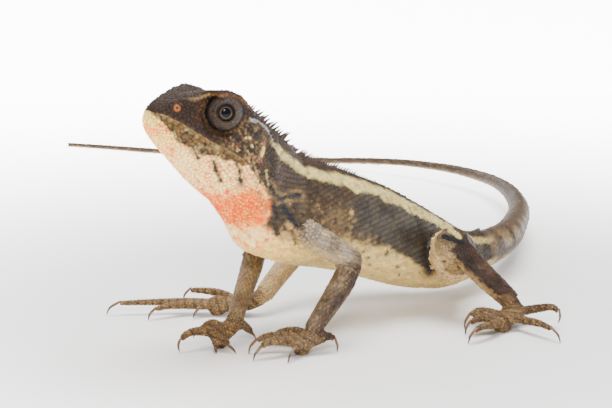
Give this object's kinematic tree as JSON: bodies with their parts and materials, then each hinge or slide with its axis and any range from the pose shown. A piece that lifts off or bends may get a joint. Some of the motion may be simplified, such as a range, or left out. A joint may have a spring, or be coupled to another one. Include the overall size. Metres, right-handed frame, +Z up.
{
  "type": "garden lizard",
  "caption": "Oriental garden lizard, an agama with a nape crest, standing with its chest raised and its long tail swung round.",
  "frame": {"origin": "under the middle of the animal's whole box, on the floor that its feet and tail rest on", "axes": "+Z up; the head and trunk point towards -Y and the animal's left side is towards +X; the tail swings round to -X"},
  "size_m": [0.206, 0.1538, 0.047],
  "materials": {
    "hide_dark": "dry keeled scales, dark brown-grey",
    "hide_throat": "dry keeled scales, pale cream flushed with orange",
    "hide_limb": "dry keeled scales, grey-brown",
    "hide_tail": "dry keeled scales, banded brown",
    "claw_horn": "semi-gloss dark amber horn",
    "eye_wet": "wet gloss"
  },
  "bodies": {
    "root": {"eye_left": "eye_wet", "eye_right": "eye_wet", "head": "hide_dark", "left_foot": "hide_limb", "left_foot_claw_1": "claw_horn", "left_foot_claw_2": "claw_horn", "left_foot_claw_3": "claw_horn", "left_foot_claw_4": "claw_horn", "left_foot_claw_5": "claw_horn", "left_forearm": "hide_limb", "left_hand": "hide_limb", "left_hand_claw_1": "claw_horn", "left_hand_claw_2": "claw_horn", "left_hand_claw_3": "claw_horn", "left_hand_claw_4": "claw_horn", "left_hand_claw_5": "claw_horn", "left_shank": "hide_limb", "left_thigh": "hide_limb", "left_upper_arm": "hide_limb", "neck": "hide_throat", "pelvis": "hide_dark", "right_foot": "hide_limb", "right_foot_claw_1": "claw_horn", "right_foot_claw_2": "claw_horn", "right_foot_claw_3": "claw_horn", "right_foot_claw_4": "claw_horn", "right_foot_claw_5": "claw_horn", "right_forearm": "hide_limb", "right_hand": "hide_limb", "right_hand_claw_1": "claw_horn", "right_hand_claw_2": "claw_horn", "right_hand_claw_3": "claw_horn", "right_hand_claw_4": "claw_horn", "right_hand_claw_5": "claw_horn", "right_shank": "hide_limb", "right_thigh": "hide_limb", "right_upper_arm": "hide_limb", "tail_1": "hide_tail", "tail_2": "hide_tail", "tail_3": "hide_tail", "tail_4": "hide_tail", "tail_5": "hide_tail", "tail_6": "hide_tail", "torso": "hide_dark"}
  },
  "joints": []
}
